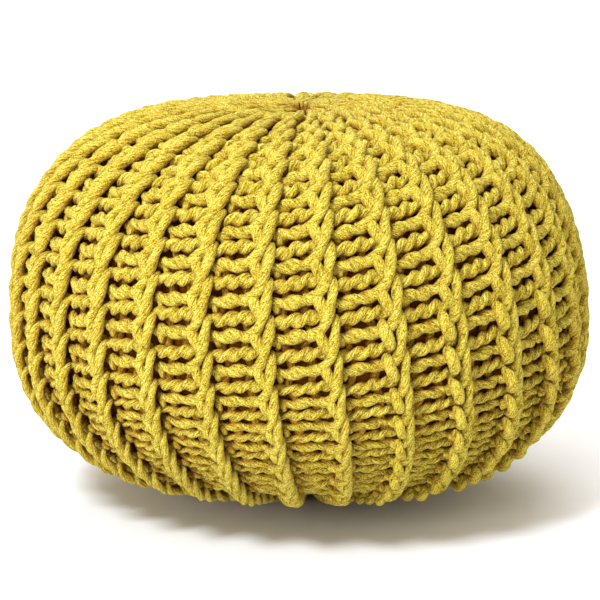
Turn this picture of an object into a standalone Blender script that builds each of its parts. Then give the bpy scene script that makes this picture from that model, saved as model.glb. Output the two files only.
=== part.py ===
# A round knitted pouf: one filled body, its cover drawn together at the top and under the base.
# The knitted ribs are raised from pole to pole. Single stitches are not.
# Metres, +Z up. The origin is on the floor, under the middle of the pouf.

import math

import bmesh
import bpy

# Overall size, over the ribs
DIAMETER = 0.500
HEIGHT = 0.341
WIDEST_HEIGHT = 0.146

# The meridian is a superellipse above the widest ring, and below it another that ends in a shallow cone
UPPER_ROUNDNESS = 2.65
LOWER_ROUNDNESS = 2.17
CROWN_RADIUS = 0.036
PRESSED_DEPTH = 0.005
CONE_FOOT_RADIUS = 0.040
CONE_SLOPE = 0.26

# The drawn-together holes
TOP_HOLE_RADIUS = 0.010
TOP_HOLE_DEPTH = 0.006
BASE_DISC_RADIUS = 0.046

# Ribs, counted round the pouf, with the first one a little left of the front
RIB_COUNT = 31
FIRST_RIB_AZIMUTH = -6.8
RIB_DEPTH = 0.009
RIB_HALF_TOP = 0.13
RIB_HALF_FOOT = 0.27
RIB_DEPTH_FALL = 0.85

# Uneven knitting: the ribs crowd together, run at a slant and lean over below, in degrees
CROWDING = 1.7
SLANT = 6.0
SLANT_SIDE = 2.5
SLANT_MIDDLE = 0.20
LEAN = 6.2
LEAN_HEIGHT = 0.225
LEAN_POWER = 1.6

# Uneven filling: the left shoulder stands out and the right one is drawn in. The rim of the top is full at
# both sides, and the crown sits a little to the right
SHOULDER_FULLNESS = 0.0005
SHOULDER_LEFT_SHARE = 3.0
SHOULDER_HEIGHT = 0.250
SHOULDER_SPREAD = 0.055
RIM_FULLNESS = 0.0035
RIM_HEIGHT = 0.315
RIM_SPREAD = 0.035
CROWN_SHIFT = 0.003
CROWN_SHIFT_HEIGHT = 0.260
CROWN_SHIFT_SPAN = 0.070

# Steps along the meridian
RING_COUNT = 29
CURVE_STEPS = 400

COVER_COLOUR = (0.72, 0.58, 0.10, 1.0)
COVER_ROUGHNESS = 0.95
SHARP_ANGLE = math.radians(60)


def clear_scene():
    for thing in list(bpy.data.objects):
        bpy.data.objects.remove(thing, do_unlink=True)


def quarter_arc(inner, outer, rise, roundness, steps):
    """Points of a superellipse quarter, from its widest point to its pole."""
    points = []
    for step in range(steps + 1):
        turn = math.pi / 2 * step / steps
        across = max(math.cos(turn), 0.0) ** (2 / roundness)
        up = math.sin(turn) ** (2 / roundness)
        points.append((inner + (outer - inner) * across, rise * up))
    return points


def meridian_curve():
    """The outline in the (radius, height) plane, from the top hole down to the base disc."""
    radius = DIAMETER / 2
    upper = quarter_arc(CROWN_RADIUS, radius, HEIGHT - WIDEST_HEIGHT, UPPER_ROUNDNESS, CURVE_STEPS)
    lower = quarter_arc(0.0, radius, WIDEST_HEIGHT + PRESSED_DEPTH, LOWER_ROUNDNESS, CURVE_STEPS)
    curve = [(TOP_HOLE_RADIUS, HEIGHT)]
    for across, up in reversed(upper):
        curve.append((across, WIDEST_HEIGHT + up))
    for across, up in lower[1:]:
        cone = CONE_SLOPE * (across - CONE_FOOT_RADIUS)
        curve.append((across, max(WIDEST_HEIGHT - up, cone, 0.0)))
        if across < BASE_DISC_RADIUS:
            break
    curve[-1] = (BASE_DISC_RADIUS, 0.0)
    return curve


def even_steps(curve, count):
    """The same curve as count points, evenly spaced along it."""
    lengths = [0.0]
    for first, second in zip(curve, curve[1:]):
        lengths.append(lengths[-1] + math.dist(first, second))
    points = []
    place = 0
    for step in range(count):
        target = lengths[-1] * step / (count - 1)
        while place < len(curve) - 2 and lengths[place + 1] < target:
            place += 1
        span = lengths[place + 1] - lengths[place]
        share = (target - lengths[place]) / span if span else 0.0
        start = curve[place]
        end = curve[place + 1]
        points.append((start[0] + (end[0] - start[0]) * share, start[1] + (end[1] - start[1]) * share))
    return points


def inward_direction(points, index):
    """The unit direction into the body, square to the meridian."""
    before = points[max(index - 1, 0)]
    after = points[min(index + 1, len(points) - 1)]
    across = after[0] - before[0]
    up = after[1] - before[1]
    length = math.hypot(across, up)
    return up / length, -across / length


def smooth(share):
    share = min(max(share, 0.0), 1.0)
    return share * share * (3 - 2 * share)


def azimuth_on_surface(even_azimuth, height):
    """Where a rib that starts at an even azimuth runs at this height, in degrees."""
    turn = math.radians(even_azimuth)
    crowded = even_azimuth + CROWDING * (math.sin(turn) + 1 - math.cos(2 * turn))
    slant = SLANT * (1 + SLANT_SIDE * math.sin(turn)) * (SLANT_MIDDLE - height)
    return crowded + slant + LEAN * max(1 - height / LEAN_HEIGHT, 0.0) ** LEAN_POWER


def rib_depth(radius):
    """How far the ribs stand out. They get finer as they close up towards the holes."""
    return RIB_DEPTH * (radius / (DIAMETER / 2)) ** RIB_DEPTH_FALL


def fullness(azimuth, height):
    """How far the cover stands out at the sides."""
    side = math.sin(math.radians(azimuth))
    shoulder = SHOULDER_FULLNESS * math.exp(-((height - SHOULDER_HEIGHT) / SHOULDER_SPREAD) ** 2)
    rim = RIM_FULLNESS * math.exp(-((height - RIM_HEIGHT) / RIM_SPREAD) ** 2)
    return side * side * (shoulder * (1 - SHOULDER_LEFT_SHARE * side) + rim)


def surface_point(points, index, even_azimuth, sunk):
    """A point of the cover, sunk by a share of the rib depth."""
    radius, height = points[index]
    inward = inward_direction(points, index)
    azimuth = azimuth_on_surface(even_azimuth, height)
    depth = rib_depth(radius) * sunk - fullness(azimuth, height)
    if height == 0.0:
        depth *= smooth((radius - BASE_DISC_RADIUS) / BASE_DISC_RADIUS)
    radius += inward[0] * depth
    height += inward[1] * depth
    height -= TOP_HOLE_DEPTH * smooth(2 - radius / TOP_HOLE_RADIUS) * (height > WIDEST_HEIGHT)
    turn = math.radians(azimuth)
    shift = CROWN_SHIFT * smooth((height - CROWN_SHIFT_HEIGHT) / CROWN_SHIFT_SPAN)
    return radius * math.sin(turn) + shift, -radius * math.cos(turn), max(height, 0.0)


def rib_section():
    """Places across one rib, as shares of the rib spacing, with how far each is sunk."""
    return [
        (-RIB_HALF_FOOT, 0.92),
        (-RIB_HALF_TOP, 0.14),
        (0.0, 0.0),
        (RIB_HALF_TOP, 0.14),
        (RIB_HALF_FOOT, 0.92),
        (0.5, 1.0),
    ]


def build_pouf():
    points = even_steps(meridian_curve(), RING_COUNT)
    spacing = 360.0 / RIB_COUNT
    shape = bmesh.new()
    rings = []
    for index in range(RING_COUNT):
        ring = []
        for rib in range(RIB_COUNT):
            for place, sunk in rib_section():
                even_azimuth = FIRST_RIB_AZIMUTH + (rib + place) * spacing
                ring.append(shape.verts.new(surface_point(points, index, even_azimuth, sunk)))
        rings.append(ring)
    count = len(rings[0])
    for upper, lower in zip(rings, rings[1:]):
        for here in range(count):
            following = (here + 1) % count
            shape.faces.new((upper[here], lower[here], lower[following], upper[following]))
    hole_middle = shape.verts.new((CROWN_SHIFT, 0.0, HEIGHT - TOP_HOLE_DEPTH))
    for here in range(count):
        shape.faces.new((hole_middle, rings[0][here], rings[0][(here + 1) % count]))
    shape.faces.new(list(reversed(rings[-1])))
    bmesh.ops.recalc_face_normals(shape, faces=shape.faces)
    bmesh.ops.triangulate(shape, faces=shape.faces)
    mesh = bpy.data.meshes.new("pouf")
    shape.to_mesh(mesh)
    shape.free()
    pouf = bpy.data.objects.new("pouf", mesh)
    bpy.context.collection.objects.link(pouf)
    mesh.shade_smooth()
    mesh.set_sharp_from_angle(angle=SHARP_ANGLE)
    return pouf


def cover_material():
    material = bpy.data.materials.new("knitted_cotton")
    material.use_nodes = True
    shader = material.node_tree.nodes["Principled BSDF"]
    shader.inputs["Base Color"].default_value = COVER_COLOUR
    shader.inputs["Roughness"].default_value = COVER_ROUGHNESS
    shader.inputs["Metallic"].default_value = 0.0
    return material


def main():
    clear_scene()
    pouf = build_pouf()
    pouf.data.materials.append(cover_material())


main()
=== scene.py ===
import math

import bpy
import numpy as np
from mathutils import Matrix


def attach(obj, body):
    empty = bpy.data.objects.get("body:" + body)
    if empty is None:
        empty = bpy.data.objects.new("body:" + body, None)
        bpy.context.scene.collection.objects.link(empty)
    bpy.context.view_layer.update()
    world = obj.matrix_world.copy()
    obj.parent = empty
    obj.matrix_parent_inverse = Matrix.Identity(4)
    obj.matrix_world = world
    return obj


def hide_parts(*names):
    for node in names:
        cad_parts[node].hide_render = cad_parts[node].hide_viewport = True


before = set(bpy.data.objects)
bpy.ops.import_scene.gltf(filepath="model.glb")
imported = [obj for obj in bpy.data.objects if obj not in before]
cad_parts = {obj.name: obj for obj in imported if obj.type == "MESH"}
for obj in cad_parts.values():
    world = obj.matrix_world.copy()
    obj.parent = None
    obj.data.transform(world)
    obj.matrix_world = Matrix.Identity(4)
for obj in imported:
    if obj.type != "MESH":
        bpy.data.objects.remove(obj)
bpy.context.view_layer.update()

MM = 0.001

# The body's shape, as in the construction
DIAMETER = 0.500
HEIGHT = 0.341
WIDEST_HEIGHT = 0.146
UPPER_ROUNDNESS = 2.65
LOWER_ROUNDNESS = 2.17
CROWN_RADIUS = 0.036
PRESSED_DEPTH = 0.005
CONE_FOOT_RADIUS = 0.040
CONE_SLOPE = 0.26
RIB_COUNT = 31
FIRST_RIB_AZIMUTH = -6.8
CROWDING = 1.7
SLANT = 6.0
SLANT_SIDE = 2.5
SLANT_MIDDLE = 0.20
LEAN = 6.2
LEAN_HEIGHT = 0.225
LEAN_POWER = 1.6
SHOULDER_FULLNESS = 0.0005
SHOULDER_LEFT_SHARE = 3.0
SHOULDER_HEIGHT = 0.250
SHOULDER_SPREAD = 0.055
RIM_FULLNESS = 0.0035
RIM_HEIGHT = 0.315
RIM_SPREAD = 0.035
CROWN_SHIFT = 0.003
CROWN_SHIFT_HEIGHT = 0.260
CROWN_SHIFT_SPAN = 0.070

# A shallow dip at the front of the crown, and the drawn-together holes, deeper than in the construction
CROWN_DIP = 0.006
CROWN_DIP_RADIUS = 0.045
CROWN_DIP_FORWARD = 0.028
HOLE_RADIUS = 0.0055
HOLE_END_PLACE = 0.036
# HOLE_SHADE deepens the painted shade inside the top hole
HOLE_SHADE = 0.020
HOLE_DEPTH = 0.034
HOLE_LIP = 0.006

# Steps along the meridian, and what keeps a length or a root above zero
ARC_STEPS = 500
WALL_STEPS = 8
BEND_STEPS = 12
LINE_STEP = 0.001
LINE_SOFTENING = 12
LEAST_STEP = 1e-7
LEAST_LENGTH = 1e-12
LEAST_SQUARE = 1e-10

# The rows of stitches, measured down the cover from the top hole
STITCH_PITCH = 0.0285
LOW_STITCH_PITCH = 0.0215
LOW_PITCH_START = 0.33
LOW_PITCH_SPAN = 0.13
KNOWN_STITCH_PLACE = 0.2952
FIRST_STITCH_PLACE = 0.040
END_MARGIN = 0.020
ROW_RISE = 0.006
ROW_RISE_AZIMUTH = 15.0
BAR_TILT_MM = 5.0
BAR_TILT_AZIMUTH = 35.0
BAR_TILT_FOCUS = 4.0
LEFT_TILT_SHARE = 0.67
RIGHT_TILT_SHARE = 0.33

# How far the cords stand out, and how they narrow where a rib has little room. They swell on the shoulder
CORD_OUT = 0.0013
RIB_WIDTH = 0.0240
FULL_CORD_ROOM = 0.0275
SLIM_POWER = 0.8
CROWN_TIGHTNESS = 1.3
FLATTEST_SHARE = 0.3
FLATTENING_POWER = 0.3
LEAST_RADIUS = 0.004
BAR_SQUEEZE = 1.5
LEG_SQUEEZE = 0.95
LOW_BAR_SINK = 0.004
LOW_NARROWING = 0.26
NARROW_PLACE = 0.350
NARROW_SPAN = 0.090
SHOULDER_SWELL = 0.10
SHOULDER_PLACE = 0.280
SHOULDER_END = 0.110
SHOULDER_SPAN = 0.080

# Where every second rib ends near a hole, and where every second one of the rest does
MERGE_RADIUS = 0.085
MERGE_SPAN = 0.016
LAST_MERGE_RADIUS = 0.040
LAST_MERGE_SPAN = 0.014

# Bars are made only where the ribs are this far apart
LEAST_BAR_SPACING = 0.0255

# The mesh of a cord. A twist is the length of one full turn, negative for the other hand
BAR_SIDES = 12
LEG_SIDES = 10
FIRST_BAR_TWIST = -0.034
SECOND_BAR_TWIST = 0.024
LEG_TWIST = -0.048
LEG_RING_STEP = 0.0034
CURVE_STEPS = 8
FEWEST_RINGS = 3
TIP_SHARE = 0.6
THREADS_ROUND = 9
SECTOR_COUNT = 7

# The yarn strands behind the bars, each place across being a share of the rib spacing
STRAND_PLACES = (0.34, 0.70)
STRAND_FIRST_PLACE = 0.052
STRAND_END_MARGIN = 0.13
STRAND_OUT = -0.0170
STRAND_LEAST_SHARE = 0.45
STRAND_WAVE_MM = 2.5
STRAND_RADIUS = 0.0034
STRAND_PLY_OFFSET = 0.0006
STRAND_SIDES = 6
STRAND_RING_STEP = 0.007
STRAND_TWIST = -0.070

# The filled body under the cords
BODY_STEPS = 90
BODY_RINGS = 60
BODY_OUT = -0.0200
BODY_LEAST_SHARE = 0.35

# The knots, low down at the right front
KNOT_AZIMUTH = 8.0
KNOT_LAST_AZIMUTH = 64.0
KNOT_SPAN = 14.0
KNOT_PLACE = 0.315
KNOT_PLACE_SPAN = 0.05
UPRIGHT_SHARE = 0.6
UPRIGHT_SHIFT_MM = 2.5

# How uneven the hand knitting is, in mm
LOBE_ACROSS_LOOSENESS = 0.7
LOBE_UP_LOOSENESS = 0.6
LOBE_OUT_LOOSENESS = 0.5
LEG_BEND_LOOSENESS = 1.0
LEG_END_LOOSENESS = 0.6
BAR_START_LOOSENESS = 0.9
BAR_UP_LOOSENESS = 1.1
BAR_OUT_LOOSENESS = 0.9
BAR_RISE_LOOSENESS = 0.8
BAR_TILT_LOOSENESS = 0.7
LOOSE_BIT_LOOSENESS = 1.2
STITCH_LOOSENESS = 0.8
STRAND_LOOSENESS = 1.0

# Painted shade on deep and side-facing cord, which the cotton's colour reads: darker and redder where the
# cord lies deep or faces away from outward
PAINTED_SHADE_FLOOR = -0.018
PAINTED_SHADE_TOP = -0.0075
FLANK_SHADE = 0.26
CROWN_FLANK_SHADE = 0.60

# The columns of a cord's controls
POINT = slice(0, 3)
OUTWARD = slice(3, 6)
PLY = 6
PLY_OFFSET = 7
# The depth and flank columns only set painted shade
DEPTH = 8
FLANK = 9

# The cotton's surface. Flecks are counted for each thread round the cord, and for each metre along it
WOBBLE_REACH = 1.2
CREASE_POWER = 0.55
FLECKS_ROUND = 2.6
FLECKS_ALONG = 300.0
DASH_STRENGTH = 2.0

# Colours. The places of the thread's colours are scaled, so that the last one fits on the ramp
SHADE_SCALE = 0.8
THREAD_COLOURS = (
    (0.78, (0.180, 0.095, 0.002, 1)),
    (0.91, (0.530, 0.375, 0.010, 1)),
    (1.01, (0.665, 0.525, 0.024, 1)),
    (1.14, (0.850, 0.750, 0.165, 1)),
)
# Painted shade: these multiply the cotton's colour darker and redder in crevices, on cord flanks and
# inside the top hole
PAINTED_SHADE_TINTS = (
    (0.00, (1.00, 1.00, 1.00, 1)),
    (0.45, (0.80, 0.60, 0.29, 1)),
    (1.00, (0.62, 0.28, 0.03, 1)),
)
BODY_COLOURS = (
    (0.3, (0.150, 0.048, 0.002, 1)),
    (0.7, (0.300, 0.105, 0.003, 1)),
)
FLOOR_COLOUR = (0.90, 0.91, 0.93, 1)
SHEEN_COLOUR = (1.0, 0.90, 0.48, 1)
WORLD_COLOUR = (1.0, 0.925, 0.82, 1)
WORLD_STRENGTH = 0.70

# The floor, and the camera, which is fitted to the outline in the photograph
FLOOR_REACH = 14.0
CAMERA_DISTANCE = 2.0
CAMERA_ELEVATION = 12.0
AIM_HEIGHT = 0.17
FOCAL_PIXELS = 2300.0
FRAME_PIXELS = 600.0
AIM_PIXEL = (299.4, 298.8)
SENSOR_MM = 36.0
VIEW_END = 60.0

SEED = 31
rng = np.random.default_rng(SEED)


def smooth(share):
    share = np.clip(share, 0.0, 1.0)
    return share * share * (3 - 2 * share)


def meridian():
    """Radius and height down the cover, from inside the top hole to inside the base hole."""
    turn = np.linspace(0, math.pi / 2, ARC_STEPS)
    across = np.cos(turn)
    up = np.sin(turn)
    radius = DIAMETER / 2
    top_r = CROWN_RADIUS + (radius - CROWN_RADIUS) * across ** (2 / UPPER_ROUNDNESS)
    top_z = WIDEST_HEIGHT + (HEIGHT - WIDEST_HEIGHT) * up ** (2 / UPPER_ROUNDNESS)
    low_r = radius * across ** (2 / LOWER_ROUNDNESS)
    low_z = np.maximum(WIDEST_HEIGHT - (WIDEST_HEIGHT + PRESSED_DEPTH) * up ** (2 / LOWER_ROUNDNESS), 0)
    low_z = np.maximum(low_z, CONE_SLOPE * (low_r - CONE_FOOT_RADIUS))
    keep = low_r > HOLE_RADIUS + HOLE_LIP / 2
    bend = np.linspace(0, math.pi / 2, BEND_STEPS)
    bend_r = HOLE_RADIUS + HOLE_LIP * (1 - np.cos(bend))
    bend_z = HEIGHT - HOLE_LIP * (1 - np.sin(bend))
    wall_r = np.full(WALL_STEPS, HOLE_RADIUS)
    wall_z = np.linspace(HOLE_DEPTH, HOLE_LIP, WALL_STEPS)
    r = np.concatenate([wall_r, bend_r, top_r[::-1], low_r[keep][1:], wall_r])
    z = np.concatenate([HEIGHT - wall_z, bend_z, top_z[::-1], low_z[keep][1:], wall_z[::-1]])
    return r, z


def resampled(r, z):
    """The same line as even steps, with the place of each point along it."""
    length = np.concatenate([[0], np.cumsum(np.hypot(np.diff(r), np.diff(z)))])
    keep = np.concatenate([[True], np.diff(length) > LEAST_STEP])
    length = length[keep]
    places = np.arange(0, length[-1], LINE_STEP)
    return places, np.interp(places, length, r[keep]), np.interp(places, length, z[keep])


def softened(values):
    for _ in range(LINE_SOFTENING):
        inner = (values[:-2] + 2 * values[1:-1] + values[2:]) / 4
        values = np.concatenate([values[:1], inner, values[-1:]])
    return values


# The meridian as even steps, with the outward direction at each
PLACE, ROUGH_R, ROUGH_Z = resampled(*meridian())
LINE_R = softened(ROUGH_R)
LINE_Z = softened(ROUGH_Z)
SLOPE_R = np.gradient(LINE_R)
SLOPE_Z = np.gradient(LINE_Z)
SLOPE = np.hypot(SLOPE_R, SLOPE_Z)
OUT_R = -SLOPE_Z / SLOPE
OUT_Z = SLOPE_R / SLOPE
LENGTH = PLACE[-1]


def azimuth_on_surface(even_azimuth, height):
    """Where a rib that starts at an even azimuth runs at this height, in degrees."""
    turn = np.radians(even_azimuth)
    crowded = even_azimuth + CROWDING * (np.sin(turn) + 1 - np.cos(2 * turn))
    slant = SLANT * (1 + SLANT_SIDE * np.sin(turn)) * (SLANT_MIDDLE - height)
    return crowded + slant + LEAN * np.maximum(1 - height / LEAN_HEIGHT, 0.0) ** LEAN_POWER


def fullness(azimuth, height):
    """How far the cover stands out at the sides."""
    side = np.sin(np.radians(azimuth))
    shoulder = SHOULDER_FULLNESS * np.exp(-((height - SHOULDER_HEIGHT) / SHOULDER_SPREAD) ** 2)
    rim = RIM_FULLNESS * np.exp(-((height - RIM_HEIGHT) / RIM_SPREAD) ** 2)
    return side * side * (shoulder * (1 - SHOULDER_LEFT_SHARE * side) + rim)


def row_lift(even_azimuth, place):
    """How far a row of stitches stands above its even place, as it goes round."""
    middle = np.sqrt(np.sin(np.clip(place / LENGTH, 0, 1) * math.pi))
    return ROW_RISE * np.sin(np.radians(even_azimuth - ROW_RISE_AZIMUTH)) * middle


def radius_at(place):
    return np.interp(place, PLACE, LINE_R)


def spacing_at(place):
    """The distance between ribs, measured round the pouf."""
    return 2 * math.pi * radius_at(place) / RIB_COUNT


def room_at(place):
    """The width that a rib has. Near the holes some ribs have ended, and leave theirs to the others."""
    radius = radius_at(place)
    last = smooth((LAST_MERGE_RADIUS - radius) / LAST_MERGE_SPAN)
    return spacing_at(place) * (1 + smooth((MERGE_RADIUS - radius) / MERGE_SPAN)) * (1 + last)


def spacing_share(place, least):
    """How much of a full rib's width there is, but never less than a given share."""
    return min(1.0, max(least, float(spacing_at(place)) / RIB_WIDTH))


def pitch_at(place):
    """The length of one stitch, which is squeezed low down."""
    low = smooth((place - LOW_PITCH_START) / LOW_PITCH_SPAN)
    return STITCH_PITCH + (LOW_STITCH_PITCH - STITCH_PITCH) * low


def rib_azimuth(rib):
    return FIRST_RIB_AZIMUTH + rib * 360.0 / RIB_COUNT


def surface(even_azimuth, place, out):
    """Points on the cover, with the outward direction there."""
    r = radius_at(place)
    z = np.interp(place, PLACE, LINE_Z)
    out_r = np.interp(place, PLACE, OUT_R)
    out_z = np.interp(place, PLACE, OUT_Z)
    azimuth = azimuth_on_surface(even_azimuth, z)
    out = out + fullness(azimuth, z)
    turn = np.radians(azimuth)
    radius = r + out_r * out
    shift = CROWN_SHIFT * smooth((z - CROWN_SHIFT_HEIGHT) / CROWN_SHIFT_SPAN)
    x = radius * np.sin(turn) + shift
    y = -radius * np.cos(turn)
    dip = CROWN_DIP * smooth(1 - np.hypot(x - CROWN_SHIFT, y + CROWN_DIP_FORWARD) / CROWN_DIP_RADIUS)
    points = np.stack([x, y, z + out_z * out - dip * (z > WIDEST_HEIGHT)], -1)
    normals = np.stack([out_r * np.sin(turn), -out_r * np.cos(turn), out_z], -1)
    return points, normals


def unit(vectors):
    return vectors / np.maximum(np.linalg.norm(vectors, axis=-1, keepdims=True), LEAST_LENGTH)


def curve_through(controls):
    """A smooth curve through control rows, each a point with its other values."""
    before = 2 * controls[:1] - controls[1:2]
    after = 2 * controls[-1:] - controls[-2:-1]
    padded = np.concatenate([before, controls, after])
    t = np.linspace(0, 1, CURVE_STEPS, endpoint=False)[:, None]
    spans = []
    for a, b, c, d in zip(padded, padded[1:], padded[2:], padded[3:]):
        spans.append(0.5 * (2 * b + (c - a) * t + (2 * a - 5 * b + 4 * c - d) * t ** 2
                            + (3 * b - a - 3 * c + d) * t ** 3))
    spans.append(controls[-1:])
    return np.concatenate(spans)


def evenly_spaced(controls, ring_step):
    """The curve as one row for each ring, with the length along it."""
    fine = curve_through(controls)
    steps = np.linalg.norm(np.diff(fine[:, POINT], axis=0), axis=1)
    length = np.concatenate([[0], np.cumsum(steps)])
    rings = max(int(round(length[-1] / ring_step)), FEWEST_RINGS)
    along = np.linspace(0, length[-1], rings + 1)
    rows = np.stack([np.interp(along, length, column) for column in fine.T], -1)
    return rows, along


def two_ply_reach(rows, turned):
    """How far the outline of two plies, side by side, lies from the cord's middle at each turned angle."""
    ply = rows[:, PLY, None]
    offset = rows[:, PLY_OFFSET, None]
    inside = np.maximum(ply ** 2 - (offset * np.sin(turned)) ** 2, LEAST_SQUARE)
    return offset * np.abs(np.cos(turned)) + np.sqrt(inside)


class CordMesh:
    """Collects cords as rings of points, and makes one mesh of them."""

    def __init__(self, name):
        self.name = name
        self.points = []
        self.faces = []
        self.maps = []
        self.painted_shades = []
        self.count = 0

    def add(self, controls, sides, ring_step, twist, phase=0.0):
        """Sweeps a two-ply cord along its controls."""
        rows, along = evenly_spaced(controls, ring_step)
        angle = np.arange(sides) * (2 * math.pi / sides)
        ring_turn = 2 * math.pi * ring_step / twist
        turned = angle[None, :] - phase - ring_turn * np.arange(len(rows))[:, None]
        reach = two_ply_reach(rows, turned)
        self.add_points(rows, reach, angle)
        self.add_painted_shades(rows, reach, angle)
        self.add_side_faces(along, sides, twist)
        self.add_end_faces(along, sides)
        self.count += len(rows) * sides + 2

    def add_points(self, rows, reach, angle):
        """The rings, and a tip beyond either end."""
        place = rows[:, POINT]
        ahead = unit(np.gradient(place, axis=0))
        side = unit(np.cross(ahead, rows[:, OUTWARD]))
        outward = np.cross(side, ahead)
        way = (np.cos(angle)[None, :, None] * side[:, None, :]
               + np.sin(angle)[None, :, None] * outward[:, None, :])
        ring = place[:, None, :] + reach[..., None] * way
        tip = rows[:, PLY] * TIP_SHARE
        self.points.append(ring.reshape(-1, 3))
        self.points.append(np.stack([place[0] - ahead[0] * tip[0], place[-1] + ahead[-1] * tip[-1]]))

    def add_painted_shades(self, rows, reach, angle):
        """How much painted shade each point gets, from its depth and the side of the cord it is on."""
        depth = rows[:, DEPTH, None] + reach * np.sin(angle)[None, :]
        deep = 1 - smooth((depth - PAINTED_SHADE_FLOOR) / (PAINTED_SHADE_TOP - PAINTED_SHADE_FLOOR))
        flank = rows[:, FLANK, None] * (1 - np.sin(angle)[None, :])
        self.painted_shades.append(np.minimum(deep + flank, 1.0).ravel())
        # The tips get full painted shade
        self.painted_shades.append(np.ones(2))

    def add_side_faces(self, along, sides, twist):
        """Two triangles for each step, mapped along the cord and round it with its threads."""
        around = np.arange(sides)
        first = self.count + np.arange(len(along) - 1)[:, None] * sides
        here = first + around[None, :]
        beside = first + (around[None, :] + 1) % sides
        self.faces.append(np.stack([here, here + sides, beside + sides], -1).reshape(-1, 3))
        self.faces.append(np.stack([here, beside + sides, beside], -1).reshape(-1, 3))
        u0 = np.broadcast_to(along[:-1, None], here.shape)
        u1 = np.broadcast_to(along[1:, None], here.shape)
        v0 = np.broadcast_to(around[None, :] / sides, here.shape)
        v1 = v0 + 1 / sides
        for corners in (((u0, v0), (u1, v0), (u1, v1)), ((u0, v0), (u1, v1), (u0, v1))):
            uv = [np.stack([u, THREADS_ROUND * (v - u / twist)], -1) for u, v in corners]
            self.maps.append(np.stack(uv, -2).reshape(-1, 3, 2))

    def add_end_faces(self, along, sides):
        """A fan of triangles round the tip at either end."""
        around = np.arange(sides)
        last_ring = len(along) - 1
        first_tip = self.count + len(along) * sides
        for ring, tip, flip in ((0, first_tip, False), (last_ring, first_tip + 1, True)):
            first = self.count + ring * sides + around
            second = self.count + ring * sides + (around + 1) % sides
            middle = np.full(sides, tip)
            corners = (middle, second, first) if flip else (middle, first, second)
            self.faces.append(np.stack(corners, -1))
            uv = np.zeros((sides, 3, 2))
            uv[..., 0] = along[ring]
            uv[..., 1] = (around / sides * THREADS_ROUND)[:, None]
            self.maps.append(uv)

    def build(self, material):
        """One object of all the cords. Nothing goes below the floor."""
        points = np.concatenate(self.points)
        points[:, 2] = np.maximum(points[:, 2], 0.0)
        faces = np.concatenate(self.faces)[:, ::-1]
        maps = np.concatenate(self.maps)[:, ::-1]
        mesh = bpy.data.meshes.new(self.name)
        mesh.vertices.add(len(points))
        mesh.vertices.foreach_set("co", points.ravel())
        mesh.loops.add(faces.size)
        mesh.loops.foreach_set("vertex_index", faces.ravel().astype(np.int32))
        mesh.polygons.add(len(faces))
        mesh.polygons.foreach_set("loop_start", np.arange(0, faces.size, 3, dtype=np.int32))
        uv = mesh.uv_layers.new(name="along_cord")
        uv.data.foreach_set("uv", maps.ravel())
        # The painted shade of each point, which the cotton's colour reads
        painted_shade = mesh.attributes.new("painted_shade", "FLOAT", "POINT")
        painted_shade.data.foreach_set("value", np.concatenate(self.painted_shades))
        mesh.update(calc_edges=True)
        mesh.validate()
        return add_object(mesh, material)


def add_object(mesh, material):
    """A smooth object of this mesh, with the mesh's own name."""
    mesh.shade_smooth()
    mesh.materials.append(material)
    made = bpy.data.objects.new(mesh.name, mesh)
    bpy.context.collection.objects.link(made)
    return made


def cord_controls(rib, place, rows, is_bar=False):
    """Rows of rib, across, up, out, ply radius and ply offset in mm, made into controls on the cover.

    A row's rib is 0 for this rib and -1 for the one to its left."""
    ribs, across, up, out, ply, offset = np.array(rows, float).T
    at = place - up * MM * pitch_at(place) / STITCH_PITCH
    room = room_at(at)
    squeezed = pitch_at(at) / STITCH_PITCH
    closing = np.minimum(1, room / RIB_WIDTH) ** CROWN_TIGHTNESS
    narrow = closing * (1 - LOW_NARROWING * smooth((at - NARROW_PLACE) / NARROW_SPAN)) * np.sqrt(squeezed)
    slim = np.minimum(1, room / FULL_CORD_ROOM)
    swell = smooth((SHOULDER_PLACE - at) / SHOULDER_SPAN) * smooth((at - SHOULDER_END) / SHOULDER_SPAN)
    squeeze = BAR_SQUEEZE if is_bar else LEG_SQUEEZE
    thickness = MM * slim ** SLIM_POWER * squeezed ** squeeze * (1 + SHOULDER_SWELL * swell)
    radius = np.maximum(radius_at(at), LEAST_RADIUS)
    azimuth = rib_azimuth(rib + ribs) + np.degrees(across * MM * narrow / radius)
    at = at - row_lift(azimuth, at)
    # The depth only sets painted shade: darker deep down and inside the top hole
    depth = out * MM - HOLE_SHADE * smooth((HOLE_END_PLACE - at) / HOLE_LIP)
    raised = out * MM * np.maximum(closing, FLATTEST_SHARE) ** FLATTENING_POWER + CORD_OUT
    if is_bar:
        raised -= LOW_BAR_SINK * smooth((1 - squeezed) / (1 - LOW_STITCH_PITCH / STITCH_PITCH))
    points, normals = surface(azimuth, at, raised)
    # Painted shade on the cords' flanks, stronger where slim cords crowd near the crown
    flank = FLANK_SHADE + CROWN_FLANK_SHADE * (1 - slim)
    values = np.stack([ply * thickness, offset * thickness, depth, flank], -1)
    return np.concatenate([points, normals, values], 1)


def jitter(size):
    return rng.uniform(-size, size)


def blended(first, second, share):
    return [tuple(a + (b - a) * share for a, b in zip(one, other)) for one, other in zip(first, second)]


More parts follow.
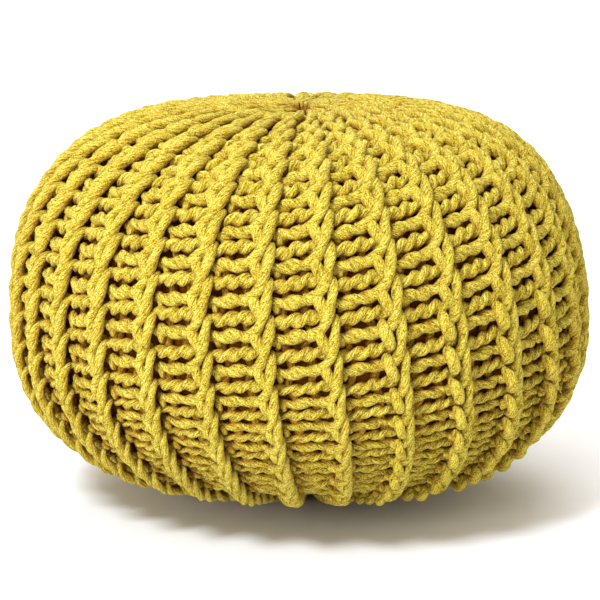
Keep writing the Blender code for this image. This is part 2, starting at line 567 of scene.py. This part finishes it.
def leg_rows(knot):
    """The bar's end, the lobe, and the long leg up to its tip, which tucks behind the next.

    Beside the knots the long legs stand upright."""
    lobe_x = jitter(LOBE_ACROSS_LOOSENESS)
    lobe_y = jitter(LOBE_UP_LOOSENESS)
    lobe_out = jitter(LOBE_OUT_LOOSENESS)
    bend = jitter(LEG_BEND_LOOSENESS)
    tip_x = jitter(LEG_END_LOOSENESS)
    rows = [
        (0, -15.0 + lobe_x, 0.8, -11.0, 3.7, 2.1),
        (0, -11.3 + lobe_x, 1.6 + lobe_y, -8.8 + lobe_out, 3.7, 1.5),
        (0, -7.4 + lobe_x, 4.0 + lobe_y, -6.3 + lobe_out, 3.8, 1.0),
        (0, -3.6 + (lobe_x + bend) / 2, 7.6 + lobe_y, -5.2, 3.6, 1.3),
        (0, -0.6 + bend, 12.0, -4.6, 3.5, 1.4),
        (0, 1.5 + bend, 17.6, -4.4, 3.5, 1.4),
        (0, 3.0 + bend / 2, 24.0, -4.3, 3.5, 1.4),
        (0, 4.4 + tip_x / 2, 30.6, -4.3, 3.5, 1.4),
        (0, 5.7 + tip_x, 37.0, -4.9, 3.3, 1.1),
        (0, 6.4 + tip_x, 42.3, -6.2, 3.2, 0.8),
        (0, 6.4 + tip_x, 45.6, -8.8, 2.9, 0.5),
        (0, 6.0 + tip_x, 47.5, -12.0, 2.4, 0.3),
    ]
    upright = [(rib, across * UPRIGHT_SHARE + UPRIGHT_SHIFT_MM, *rest) for rib, across, *rest in rows]
    return rows[:2] + blended(rows[2:], upright[2:], knot)


def knot_share(azimuth, place):
    """How far the short legs stand out as knots, low down on the right side."""
    side = (azimuth + 180) % 360 - 180
    right = smooth((side - KNOT_AZIMUTH) / KNOT_SPAN) * smooth((KNOT_LAST_AZIMUTH - side) / KNOT_SPAN)
    return float(right * smooth((place - KNOT_PLACE) / KNOT_PLACE_SPAN))


def short_leg_rows(knot):
    """From inside the lobe down and right, to behind the long leg below. A knot is blunt at both ends."""
    x = jitter(LEG_END_LOOSENESS)
    tucked = [
        (0, -5.4 + x, 7.2, -7.6, 3.1, 0.5),
        (0, -6.5 + x, 3.6, -6.2, 3.9, 0.8),
        (0, -5.5 + x, -1.4, -5.5, 4.2, 0.9),
        (0, -3.3 + x, -6.6, -5.7, 4.2, 0.9),
        (0, -0.8 + x / 2, -11.8, -7.2, 3.9, 0.8),
        (0, 1.2, -16.0, -10.6, 2.8, 0.4),
    ]
    knotted = [
        (0, -9.6 + x, 11.0, -9.0, 3.0, 0.5),
        (0, -10.6 + x, 8.2, -5.0, 4.6, 0.8),
        (0, -10.4 + x, 3.6, -2.2, 5.2, 0.9),
        (0, -9.4 + x, -2.2, -1.4, 5.2, 0.9),
        (0, -8.2 + x, -7.2, -3.0, 4.8, 0.8),
        (0, -7.4 + x, -9.8, -8.4, 3.2, 0.4),
    ]
    return blended(tucked, knotted, knot)


def bar_looseness():
    """How far a bar strays: up near its start, then up and out at two places along it."""
    start_up = jitter(BAR_START_LOOSENESS)
    left_up = jitter(BAR_UP_LOOSENESS)
    left_out = jitter(BAR_OUT_LOOSENESS)
    right_up = jitter(BAR_UP_LOOSENESS)
    right_out = jitter(BAR_OUT_LOOSENESS)
    return start_up, left_up, left_out, right_up, right_out


def first_bar_rows(tilt):
    """A bar from behind the rib on the left to the lobe of this rib."""
    start_up, left_up, left_out, right_up, right_out = bar_looseness()
    return [
        (-1, 4.0, 2.0 - tilt, -15.5, 3.2, 1.8),
        (-1, 10.0, 1.0 + start_up - tilt, -13.2, 3.5, 2.3),
        (-2 / 3, 1.5, 0.6 + left_up - LEFT_TILT_SHARE * tilt, -11.6 + left_out, 3.8, 2.5),
        (-1 / 3, -7.0, 0.9 + right_up - RIGHT_TILT_SHARE * tilt, -11.0 + right_out, 4.0, 2.6),
    ]


def second_bar_rows(tilt):
    """The bar halfway up to the next row, which passes behind both ribs."""
    rise = 15.0 + jitter(BAR_RISE_LOOSENESS)
    start_up, left_up, left_out, right_up, right_out = bar_looseness()
    return [
        (-1, 3.0, rise - tilt, -15.8, 3.2, 1.8),
        (-1, 10.0, rise + start_up - tilt, -13.2, 3.5, 2.4),
        (-2 / 3, 2.7, rise + left_up - LEFT_TILT_SHARE * tilt, -11.7 + left_out, 3.8, 2.5),
        (-1 / 3, -4.7, rise + 0.6 + right_up - RIGHT_TILT_SHARE * tilt, -11.2 + right_out, 4.0, 2.6),
        (0, -10.0, rise + 1.4, -11.0, 4.0, 2.4),
        (0, -3.0, rise + 1.0, -11.6, 3.8, 1.8),
        (0, 2.0, rise, -13.5, 3.2, 1.2),
    ]


def loose_bit_rows():
    """The turn of cord that shows under a bar, just right of the rib."""
    x = jitter(LOOSE_BIT_LOOSENESS)
    return [
        (0, 8.6 + x, -1.0, -14.0, 2.4, 0.5),
        (0, 11.6 + x, -3.8, -12.6, 2.8, 0.8),
        (0, 12.4 + x, -7.0, -13.4, 2.6, 0.8),
        (0, 11.0 + x, -10.0, -16.0, 2.0, 0.5),
    ]


def bar_tilt(azimuth):
    """How far a bar's left end hangs below its right end, in mm."""
    near = math.exp(BAR_TILT_FOCUS * (math.cos(math.radians(azimuth - BAR_TILT_AZIMUTH)) - 1))
    return BAR_TILT_MM * near + jitter(BAR_TILT_LOOSENESS)


def add_bar(mesh, controls, twist):
    """The rows of the mesh follow the twist, so that one row of points lies in each crease."""
    phase = int(rng.integers(BAR_SIDES)) * 2 * math.pi / BAR_SIDES
    mesh.add(controls, BAR_SIDES, abs(twist) / BAR_SIDES, twist, phase)


def add_leg(mesh, controls):
    mesh.add(controls, LEG_SIDES, LEG_RING_STEP, LEG_TWIST, rng.uniform(0, math.pi))


def add_stitch(mesh, rib, place):
    """One stitch: its bar and long leg in one cord, its short leg, and the bar above."""
    knot = knot_share(rib_azimuth(rib), place)
    legs = leg_rows(knot)
    if float(spacing_at(place)) > LEAST_BAR_SPACING:
        tilt = bar_tilt(rib_azimuth(rib))
        first_rows = first_bar_rows(tilt) + legs[:3]
        add_bar(mesh, cord_controls(rib, place, first_rows, is_bar=True), FIRST_BAR_TWIST)
        add_bar(mesh, cord_controls(rib, place, second_bar_rows(tilt), is_bar=True), SECOND_BAR_TWIST)
        add_leg(mesh, cord_controls(rib, place, loose_bit_rows()))
    add_leg(mesh, cord_controls(rib, place, legs))
    add_leg(mesh, cord_controls(rib, place, short_leg_rows(knot)))


def stitch_places():
    """The places of the stitches down the cover, set by one that was read from the photograph."""
    places = [KNOWN_STITCH_PLACE]
    while places[0] > FIRST_STITCH_PLACE:
        places.insert(0, places[0] - pitch_at(places[0]))
    while places[-1] < LENGTH - END_MARGIN:
        places.append(places[-1] + pitch_at(places[-1]))
    return places


def has_ended(rib, place):
    """Whether a rib has already run into its neighbours on its way to a hole."""
    radius = radius_at(place)
    ended = rib % 2 and radius < MERGE_RADIUS - MERGE_SPAN / 2
    last_ended = rib % 4 and radius < LAST_MERGE_RADIUS - LAST_MERGE_SPAN / 2
    return bool(ended or last_ended)


def build_knit(material):
    sectors = [CordMesh(f"knit_{number + 1}") for number in range(SECTOR_COUNT)]
    places = stitch_places()
    for rib in range(RIB_COUNT):
        mesh = sectors[rib * SECTOR_COUNT // RIB_COUNT]
        for place in places:
            if not has_ended(rib, place):
                add_stitch(mesh, rib, place + jitter(STITCH_LOOSENESS) * MM)
    return [sector.build(material) for sector in sectors]


def strand_controls(even_azimuth):
    """A strand on its way down, which changes sides at every half stitch."""
    rows = []
    places = np.arange(STRAND_FIRST_PLACE, LENGTH - STRAND_END_MARGIN, STITCH_PITCH / 2)
    for number, place in enumerate(places):
        wave = STRAND_WAVE_MM if number % 2 else -STRAND_WAVE_MM
        across = (wave + jitter(STRAND_LOOSENESS)) * MM
        azimuth = even_azimuth + math.degrees(across / float(radius_at(place)))
        out = STRAND_OUT * spacing_share(place, STRAND_LEAST_SHARE)
        point, normal = surface(np.array([azimuth]), np.array([place]), np.array([out]))
        # A strand lies deep, so it gets nearly full painted shade
        values = [STRAND_RADIUS, STRAND_PLY_OFFSET, STRAND_OUT, FLANK_SHADE]
        rows.append(np.concatenate([point[0], normal[0], values]))
    return np.array(rows)


def build_back_strands(material):
    """The strands that run up behind the bars, two in each gap, dimmed by painted shade."""
    mesh = CordMesh("back_strands")
    for rib in range(RIB_COUNT):
        for across in STRAND_PLACES:
            controls = strand_controls(rib_azimuth(rib + across))
            mesh.add(controls, STRAND_SIDES, STRAND_RING_STEP, STRAND_TWIST)
    return mesh.build(material)


def build_body(material):
    """The filled body under the cords, which shows dark in the gaps."""
    even = np.arange(BODY_STEPS) * 360.0 / BODY_STEPS
    rings = []
    for place in np.linspace(0.0, LENGTH, BODY_RINGS):
        out = BODY_OUT * spacing_share(place, BODY_LEAST_SHARE)
        points, _ = surface(even, np.full(BODY_STEPS, place), np.full(BODY_STEPS, out))
        rings.append(points)
    top_middle = (0, 0, rings[0][0, 2])
    base_middle = (0, 0, rings[-1][0, 2])
    points = np.concatenate(rings + [[top_middle, base_middle]])
    top = BODY_RINGS * BODY_STEPS
    last_ring = top - BODY_STEPS
    faces = []
    for ring in range(0, last_ring, BODY_STEPS):
        below = ring + BODY_STEPS
        for here in range(BODY_STEPS):
            beside = (here + 1) % BODY_STEPS
            faces.append((ring + here, below + here, below + beside, ring + beside))
    for here in range(BODY_STEPS):
        beside = (here + 1) % BODY_STEPS
        faces.append((top, here, beside))
        faces.append((top + 1, last_ring + beside, last_ring + here))
    mesh = bpy.data.meshes.new("filled_body")
    mesh.from_pydata(points.tolist(), [], faces)
    mesh.update()
    return add_object(mesh, material)


class Nodes:
    """A short way to write a node material."""

    def __init__(self, name):
        self.material = bpy.data.materials.new(name)
        self.material.use_nodes = True
        self.tree = self.material.node_tree
        self.shader = self.tree.nodes["Principled BSDF"]

    def node(self, kind, inputs=None, **settings):
        made = self.tree.nodes.new(kind)
        for key, value in settings.items():
            setattr(made, key, value)
        for key, value in (inputs or {}).items():
            if isinstance(value, bpy.types.NodeSocket):
                self.tree.links.new(value, made.inputs[key])
            else:
                made.inputs[key].default_value = value
        return made

    def math(self, operation, first, second=0.0):
        return self.node("ShaderNodeMath", {0: first, 1: second}, operation=operation).outputs[0]

    def noise(self, vector, scale, detail, roughness=0.5):
        inputs = {"Vector": vector, "Scale": scale, "Detail": detail, "Roughness": roughness}
        return self.node("ShaderNodeTexNoise", inputs).outputs[0]

    def weighted_sum(self, parts):
        """The sum of some values, each times its weight."""
        total = 0.0
        for value, weight in parts:
            total = self.math("ADD", self.math("MULTIPLY", value, weight), total)
        return total

    def ramp(self, factor, stops):
        made = self.node("ShaderNodeValToRGB", {"Fac": factor})
        elements = made.color_ramp.elements
        elements[0].position, elements[0].color = stops[0]
        elements[1].position, elements[1].color = stops[-1]
        for position, colour in stops[1:-1]:
            elements.new(position).color = colour
        return made.outputs["Color"]

    def bump(self, height, strength, distance):
        made = self.node("ShaderNodeBump", {"Height": height, "Strength": strength, "Distance": distance})
        self.link(made.outputs[0], "Normal")

    def link(self, value, socket):
        self.tree.links.new(value, self.shader.inputs[socket])

    def set(self, values):
        """Sets constants of the shader."""
        for socket, value in values.items():
            self.shader.inputs[socket].default_value = value


def cotton_material():
    """Yellow cotton cord: threads along the plies, dark dashes between them, and slow changes of shade."""
    n = Nodes("knitted_cotton")
    place = n.node("ShaderNodeTexCoord").outputs["Object"]
    uv = n.node("ShaderNodeUVMap", uv_map="along_cord").outputs[0]
    along, strand, _ = n.node("ShaderNodeSeparateXYZ", {0: uv}).outputs

    # Dark creases between the threads
    wobble = n.noise(place, scale=240.0, detail=2.0)
    shifted = n.math("ADD", strand, n.math("MULTIPLY", wobble, WOBBLE_REACH))
    wave = n.math("ABSOLUTE", n.math("SINE", n.math("MULTIPLY", shifted, math.pi)))
    crease = n.math("SUBTRACT", 1.0, n.math("POWER", wave, CREASE_POWER))

    # Flecks drawn out along the threads, which break the creases into dashes
    fleck_round = n.math("MULTIPLY", strand, FLECKS_ROUND)
    fleck_along = n.math("MULTIPLY", along, FLECKS_ALONG)
    cell = n.node("ShaderNodeCombineXYZ", {0: fleck_round, 1: fleck_along, 2: wobble}).outputs[0]
    flecks = n.noise(cell, scale=1.0, detail=3.0, roughness=0.65)
    dash = n.math("MULTIPLY", crease, n.math("MULTIPLY", flecks, DASH_STRENGTH))

    # Fine fibres, slow changes of shade, and painted shade, darker and redder, in the crevices and on the
    # cords' flanks
    fibres = n.noise(place, scale=1050.0, detail=1.0, roughness=0.6)
    patch = n.noise(place, scale=60.0, detail=2.0)
    shade = n.weighted_sum([(flecks, 1.10), (dash, -0.14), (fibres, 0.75), (patch, 0.20)])
    shade = n.math("MULTIPLY", shade, SHADE_SCALE)
    colour = n.ramp(shade, [(position * SHADE_SCALE, stop) for position, stop in THREAD_COLOURS])
    # Painted shade, read from the mesh, multiplies the colour darker and redder
    painted_shade = n.node("ShaderNodeAttribute", attribute_name="painted_shade").outputs["Fac"]
    painted_shade_colour = n.ramp(painted_shade, PAINTED_SHADE_TINTS)
    mix = n.node("ShaderNodeMix", {0: 1.0, 6: colour, 7: painted_shade_colour}, data_type="RGBA", blend_type="MULTIPLY")
    n.link(mix.outputs[2], "Base Color")
    height = n.weighted_sum([(flecks, 1.1), (dash, -0.30), (fibres, 0.7)])
    n.bump(height, strength=1.0, distance=0.0022)
    n.set({"Roughness": 0.92, "Specular IOR Level": 0.15})
    n.set({"Sheen Weight": 0.12, "Sheen Roughness": 0.6, "Sheen Tint": SHEEN_COLOUR})
    return n.material


def body_material():
    """The dark colour of the filled body under the cords, seen only in the gaps."""
    n = Nodes("body_cloth")
    place = n.node("ShaderNodeTexCoord").outputs["Object"]
    weave = n.noise(place, scale=500.0, detail=3.0)
    n.link(n.ramp(weave, BODY_COLOURS), "Base Color")
    n.bump(weave, strength=0.4, distance=0.001)
    n.set({"Roughness": 0.95, "Specular IOR Level": 0.1})
    return n.material


def floor_material():
    n = Nodes("pale_floor")
    n.set({"Base Color": FLOOR_COLOUR, "Roughness": 1.0, "Specular IOR Level": 0.0})
    return n.material


def add_floor():
    near = -FLOOR_REACH
    far = FLOOR_REACH
    mesh = bpy.data.meshes.new("floor")
    mesh.from_pydata([(near, near, 0), (far, near, 0), (far, far, 0), (near, far, 0)], [], [(0, 1, 2, 3)])
    floor = add_object(mesh, floor_material())


def add_camera():
    camera = bpy.data.cameras.new("camera")
    camera.sensor_fit = "HORIZONTAL"
    camera.sensor_width = SENSOR_MM
    camera.lens = FOCAL_PIXELS / FRAME_PIXELS * SENSOR_MM
    camera.shift_x = (FRAME_PIXELS / 2 - AIM_PIXEL[0]) / FRAME_PIXELS
    camera.shift_y = (AIM_PIXEL[1] - FRAME_PIXELS / 2) / FRAME_PIXELS
    camera.clip_end = VIEW_END
    holder = bpy.data.objects.new("camera", camera)
    bpy.context.collection.objects.link(holder)
    tilt = math.radians(CAMERA_ELEVATION)
    holder.location = (0, -CAMERA_DISTANCE * math.cos(tilt), AIM_HEIGHT + CAMERA_DISTANCE * math.sin(tilt))
    holder.rotation_euler = (math.radians(90) - tilt, 0, 0)
    bpy.context.scene.camera = holder


def add_area_light(name, place, target, size, power, colour):
    light = bpy.data.lights.new(name, "AREA")
    light.shape = "DISK"
    light.size = size
    light.energy = power
    light.color = colour
    holder = bpy.data.objects.new(name, light)
    bpy.context.collection.objects.link(holder)
    holder.location = place
    way = np.array(place) - np.array(target)
    flat = math.hypot(way[0], way[1])
    holder.rotation_euler = (math.atan2(flat, way[2]), 0, math.atan2(way[0], -way[1]))


def add_lights():
    """A key light at the upper left, a warm one in front, one overhead, and one for the floor behind."""
    middle = (0, 0, AIM_HEIGHT)
    add_area_light("key", (-1.1, -1.8, 2.3), middle, size=0.8, power=77.0, colour=(0.96, 1.0, 1.1))
    add_area_light("front", (-1.5, -2.5, 0.9), middle, size=1.0, power=26.0, colour=(1.0, 0.94, 0.85))
    add_area_light("ceiling", (-0.2, 0, 3), (-0.2, 0, 0), size=3.0, power=38.0, colour=(0.965, 1.0, 1.1))
    add_area_light("back", (0, 4.6, 3.4), (0, 4.6, 0), size=4.0, power=220.0, colour=(1.0, 1.0, 1.0))


def add_world():
    world = bpy.data.worlds.new("studio")
    world.use_nodes = True
    background = world.node_tree.nodes["Background"]
    background.inputs["Color"].default_value = WORLD_COLOUR
    background.inputs["Strength"].default_value = WORLD_STRENGTH
    bpy.context.scene.world = world
    bpy.context.scene.view_settings.view_transform = "Standard"


def main():
    add_camera()
    add_lights()
    add_world()
    add_floor()
    cotton = cotton_material()
    body = build_body(body_material())
    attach(body, "root")
    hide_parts("pouf")
    for piece in build_knit(cotton) + [build_back_strands(cotton)]:
        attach(piece, "root")
        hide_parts("pouf")


main()
